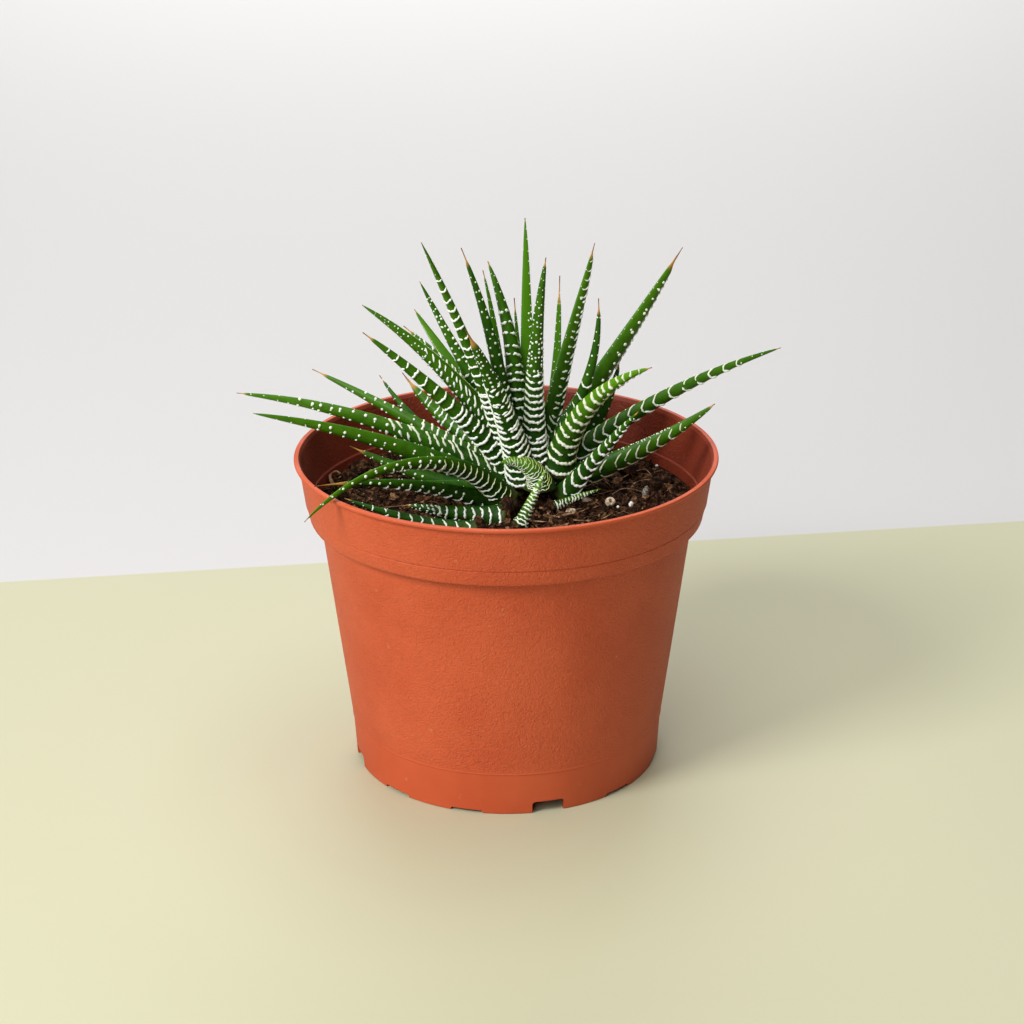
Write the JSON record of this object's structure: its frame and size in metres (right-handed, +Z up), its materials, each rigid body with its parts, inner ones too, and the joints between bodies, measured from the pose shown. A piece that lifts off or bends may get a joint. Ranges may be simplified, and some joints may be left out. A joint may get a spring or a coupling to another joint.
{
  "type": "potted haworthia",
  "caption": "Clump-forming haworthia with pointed, white-banded leaves in a round moulded nursery pot with a notched foot, filled with peat.",
  "frame": {"origin": "middle of the pot's foot, on the surface that it stands on", "axes": "+Z up; +X to the viewer's right and +Y away from the viewer, so the two leaves that reach over the rim at the front point towards -X and -Y"},
  "size_m": [0.1559, 0.12, 0.1537],
  "materials": {
    "pot": "fine moulded leather grain, satin on the foot band and inside",
    "soil": "dark peat with bark, roots and a few pale grains",
    "leaf": "semi-gloss green skin with raised white tubercle bands and dots, dry brown tips",
    "stem": "dull pale green, sheathed in old leaf bases"
  },
  "bodies": {
    "root": {"pot": "pot", "soil": "soil", "crown_stem": "stem", "offset_stem": "stem", "leaf_heart_1": "leaf", "leaf_heart_2": "leaf", "leaf_heart_3": "leaf", "leaf_heart_4": "leaf", "leaf_heart_5": "leaf", "leaf_heart_6": "leaf", "leaf_heart_7": "leaf", "leaf_heart_8": "leaf", "leaf_heart_9": "leaf", "leaf_left_1": "leaf", "leaf_left_2": "leaf", "leaf_left_3": "leaf", "leaf_left_4": "leaf", "leaf_left_5": "leaf", "leaf_left_6": "leaf", "leaf_left_7": "leaf", "leaf_left_8": "leaf", "leaf_left_9": "leaf", "leaf_left_10": "leaf", "leaf_left_11": "leaf", "leaf_left_12": "leaf", "leaf_right_1": "leaf", "leaf_right_2": "leaf", "leaf_right_3": "leaf", "leaf_right_4": "leaf", "leaf_right_5": "leaf", "leaf_right_6": "leaf", "leaf_back_1": "leaf", "leaf_back_2": "leaf", "leaf_back_3": "leaf", "leaf_back_4": "leaf", "leaf_back_5": "leaf", "leaf_back_6": "leaf", "leaf_front_1": "leaf", "leaf_front_2": "leaf", "leaf_front_3": "leaf", "leaf_front_4": "leaf", "leaf_front_5": "leaf", "leaf_front_6": "leaf", "shoot_leaf_1": "leaf", "shoot_leaf_2": "leaf", "shoot_leaf_3": "leaf"}
  },
  "joints": []
}
